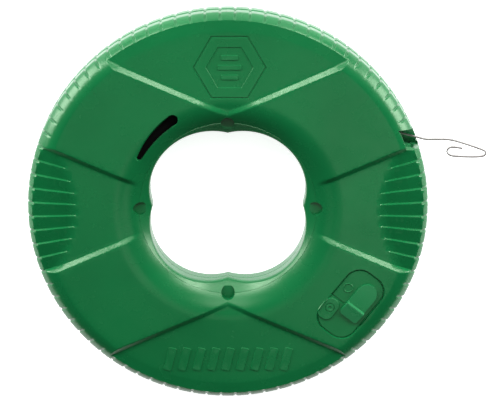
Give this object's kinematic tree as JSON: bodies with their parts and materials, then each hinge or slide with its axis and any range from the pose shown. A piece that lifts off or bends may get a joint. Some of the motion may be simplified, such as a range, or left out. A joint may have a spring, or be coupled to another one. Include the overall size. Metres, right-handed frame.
{
  "type": "fish tape reel",
  "caption": "Ring-shaped plastic reel that stores a flat steel fish tape on a drum; the tape leaves a notch in the rim and ends in a hook, and a slide lock brakes the drum.",
  "frame": {"origin": "on the reel's axis, at the plane of its rear face", "axes": "+Z along the reel's axis, from the rear face to the front face; +Y towards the middle of the upper sunk field; the tape leaves towards +X"},
  "size_m": [0.3494, 0.305, 0.0459],
  "materials": {
    "green_plastic": "moulded, satin gloss",
    "lock_plastic": "moulded, satin gloss",
    "black_plastic": "moulded, matt",
    "tape_steel": "blued spring steel",
    "plain_steel": "plain steel",
    "dark_steel": "blackened steel",
    "insert_brass": "turned brass",
    "pad_rubber": "moulded rubber"
  },
  "bodies": {
    "case": {"front_shell": "green_plastic", "rear_shell": "green_plastic", "case_screws": "dark_steel", "screw_inserts": "insert_brass", "exit_guide": "black_plastic", "exit_pins": "plain_steel", "front_glide_ring": "black_plastic", "rear_glide_ring": "black_plastic", "brake_cover": "black_plastic", "brake_cover_screws": "plain_steel"},
    "drum": {"drum_core": "black_plastic", "drum_front_flange": "black_plastic", "drum_rear_flange": "black_plastic", "drum_rivets": "plain_steel", "tape_coil": "tape_steel", "tape_anchor_clip": "plain_steel", "tape_anchor_screw": "dark_steel"},
    "tape_end": {"tape_lead": "tape_steel"},
    "lock": {"lock_slider": "lock_plastic", "lock_retainer": "black_plastic", "lock_pin": "plain_steel"},
    "brake": {"brake_shoe": "black_plastic", "brake_pad": "pad_rubber"}
  },
  "joints": [
    {"name": "drum_spin", "type": "hinge", "parent": "case", "child": "drum", "pos_m": [0, 0, 0.021], "axis": [0, 0, -1], "range_deg": [-12.3, 38.7]},
    {"name": "tape_feed", "type": "slide", "parent": "case", "child": "tape_end", "axis": [0.9659, -0.2588, 0], "range_m": [-0.0191, 0.06]},
    {"name": "lock_slide", "type": "slide", "parent": "case", "child": "lock", "axis": [-0.6184, -0.7859, 0], "range_m": [0, 0.014]},
    {"name": "brake_slide", "type": "slide", "parent": "case", "child": "brake", "axis": [-0.7859, 0.6184, 0], "range_m": [0, 0.002]}
  ],
  "couplings": [
    {"joint": "tape_feed", "follows": "drum_spin", "m_per_rad": 0.0886},
    {"joint": "brake_slide", "follows": "lock_slide", "ratio": 0.14286}
  ]
}
